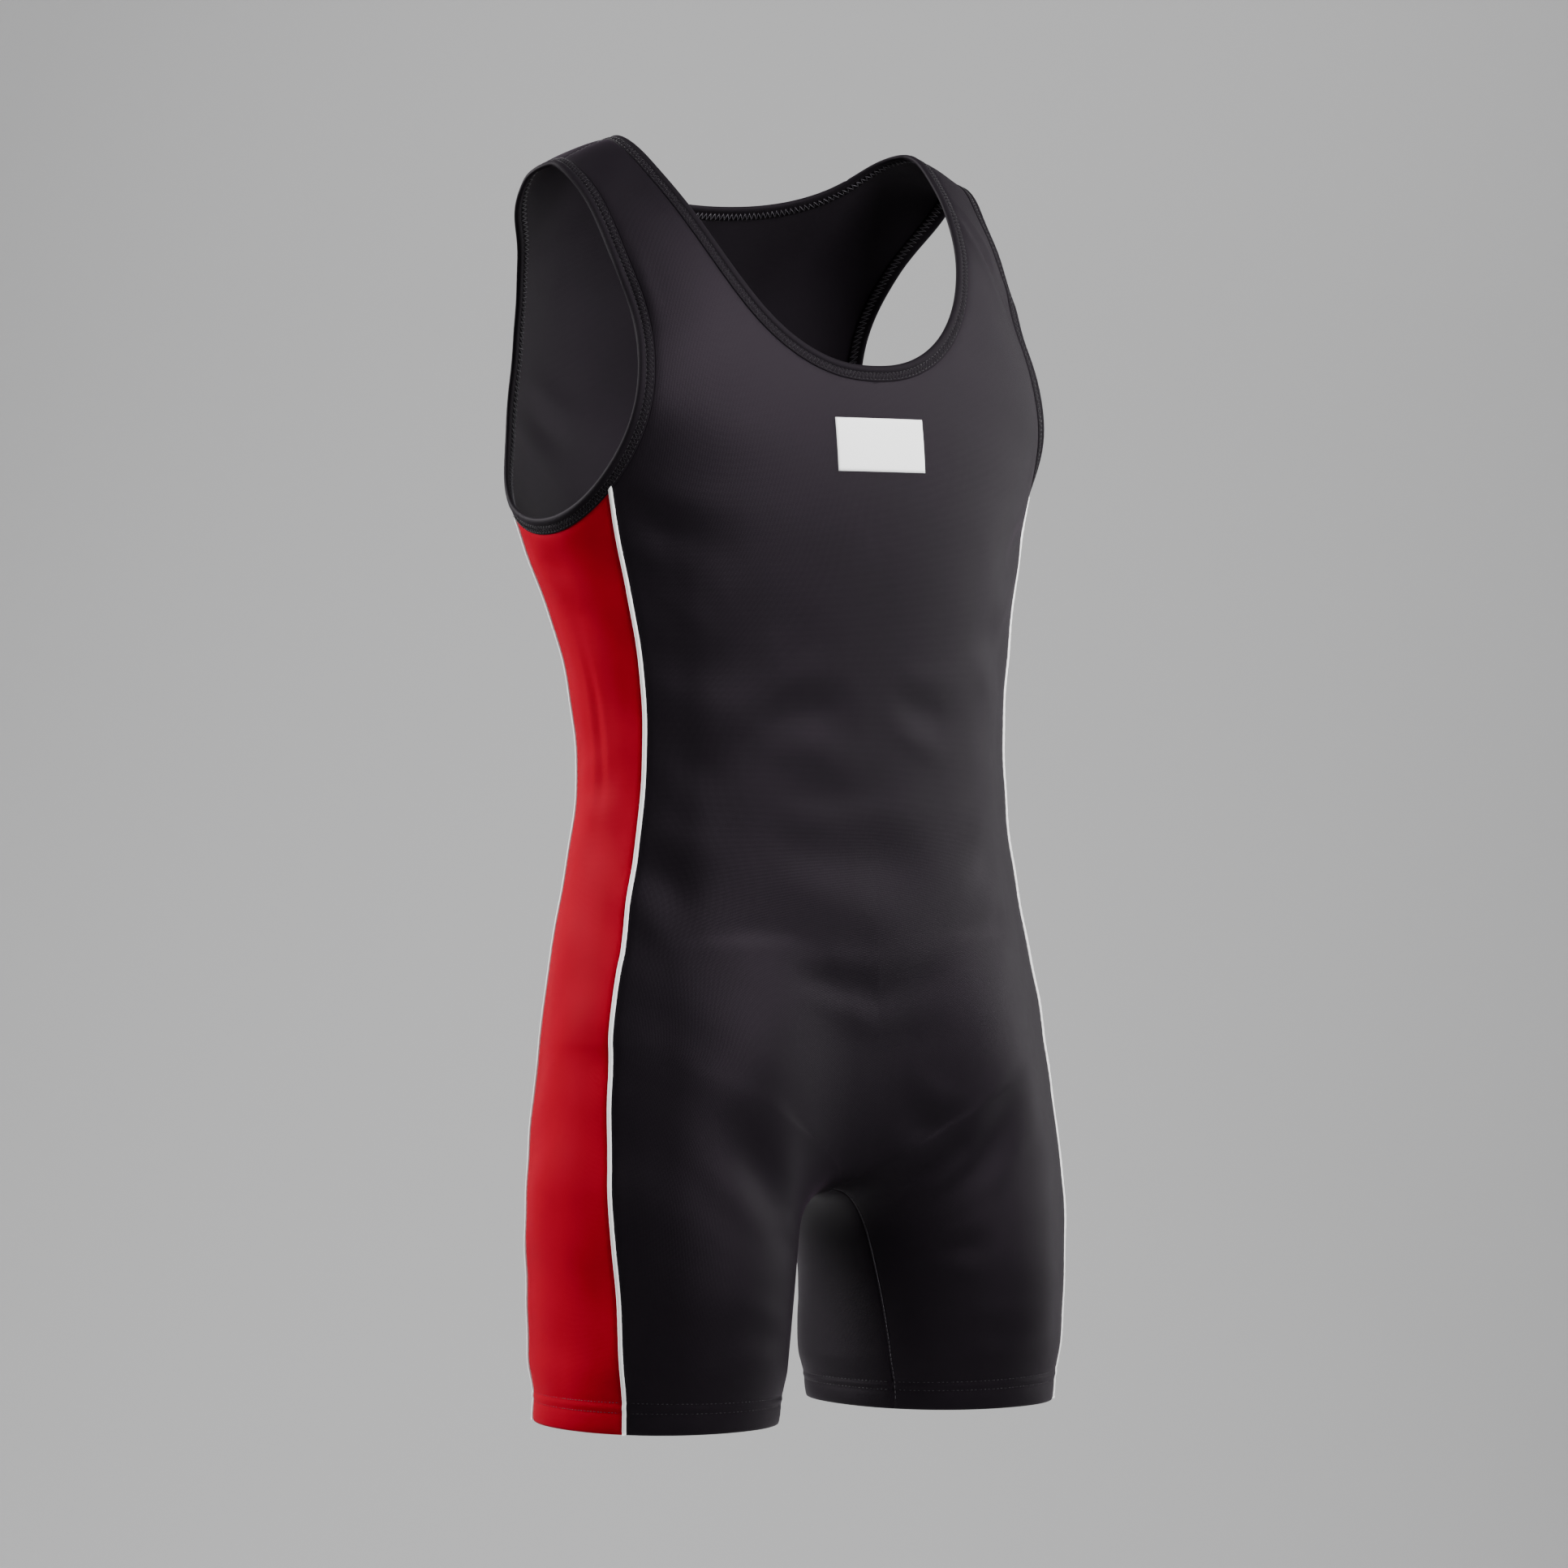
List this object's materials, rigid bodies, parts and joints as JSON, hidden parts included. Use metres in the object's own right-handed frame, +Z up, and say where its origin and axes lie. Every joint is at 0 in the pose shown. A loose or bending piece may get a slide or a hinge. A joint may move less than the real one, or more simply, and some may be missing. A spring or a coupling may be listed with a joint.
{
  "type": "weightlifting singlet",
  "caption": "Sleeveless one-piece singlet in stretch knit with a scoop neck, open armholes, short legs, piped contrast side panels and a plain chest patch, worn form with nobody in it.",
  "frame": {"origin": "midway between the two shoulder straps, at the height where they rest on the wearer's shoulders", "axes": "+Z up, towards the wearer's head; -Y is the way the wearer faces; +X towards the wearer's left side"},
  "size_m": [0.3732, 0.2347, 0.7955],
  "materials": {
    "black_knit": "charcoal-black stretch knit, satin",
    "red_knit": "red stretch knit, satin",
    "black_band": "black stretch binding, matt",
    "white_cord": "white piping, matt",
    "white_print": "white pressed-on label cloth, smooth"
  },
  "bodies": {
    "root": {"front_panel": "black_knit", "back_panel": "black_knit", "side_panel_right": "red_knit", "side_panel_left": "red_knit", "piping_front_right": "white_cord", "piping_front_left": "white_cord", "piping_back_right": "white_cord", "piping_back_left": "white_cord", "neck_binding": "black_band", "armhole_binding_right": "black_band", "armhole_binding_left": "black_band", "chest_patch": "white_print"}
  },
  "joints": []
}
